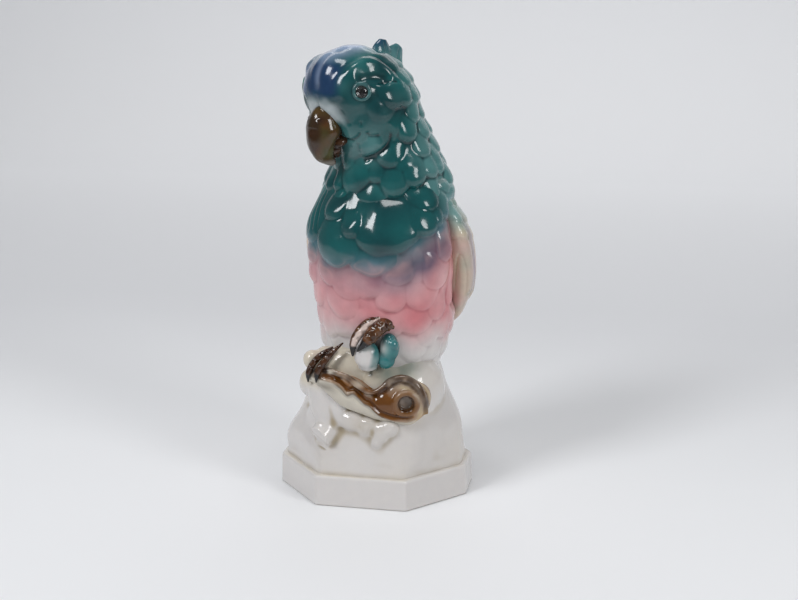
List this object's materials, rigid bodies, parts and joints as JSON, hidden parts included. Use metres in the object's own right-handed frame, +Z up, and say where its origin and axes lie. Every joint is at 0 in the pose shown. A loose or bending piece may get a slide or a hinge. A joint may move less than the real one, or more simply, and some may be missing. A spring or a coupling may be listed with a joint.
{
  "type": "porcelain figurine",
  "caption": "Glazed porcelain parrot figurine with its head turned aside, perched on a rock with a knotted branch, on an octagonal plinth.",
  "frame": {"origin": "centre of the plinth's underside, in the plane that it stands on", "axes": "+Z up, -Y the front of the plinth, +X the bird's left"},
  "size_m": [0.099, 0.077, 0.23],
  "materials": {
    "porcelain_white": "clear glossy glaze over white porcelain, thin beige in the hollows",
    "porcelain_painted_body": "glossy glaze, airbrushed teal breast fading through pink to white",
    "teal_glaze": "thick glossy teal glaze, blue-violet forehead, pale on raised edges",
    "olive_glaze": "glossy cream glaze shaded olive and teal",
    "beak_brown": "glossy mottled brown glaze with a pale tip",
    "branch_brown": "glossy honey brown glaze pooled in the grooves over white",
    "toe_brown": "glossy dark brown glaze with black claw tips",
    "eye_glass": "clear polished glass dome",
    "pupil_black": "gloss black"
  },
  "bodies": {
    "root": {"plinth": "porcelain_white", "rock": "porcelain_white", "rock_knobs": "porcelain_white", "root": "porcelain_white", "root_stub": "porcelain_white", "leaf_tuft": "porcelain_white", "nut": "porcelain_white", "torso": "porcelain_painted_body", "head": "teal_glaze", "eyelid_left": "teal_glaze", "eyelid_right": "teal_glaze", "crest_front": "teal_glaze", "crest_rear": "teal_glaze", "left_knuckle": "teal_glaze", "wing_left": "olive_glaze", "wing_right": "olive_glaze", "tail": "olive_glaze", "beak_upper": "beak_brown", "beak_lower": "beak_brown", "branch": "branch_brown", "left_toe_inner": "toe_brown", "left_toe_outer": "toe_brown", "right_toe_inner": "toe_brown", "right_toe_outer": "toe_brown", "glass_eye_left": "eye_glass", "glass_eye_right": "eye_glass", "pupil_left": "pupil_black", "pupil_right": "pupil_black"}
  },
  "joints": []
}
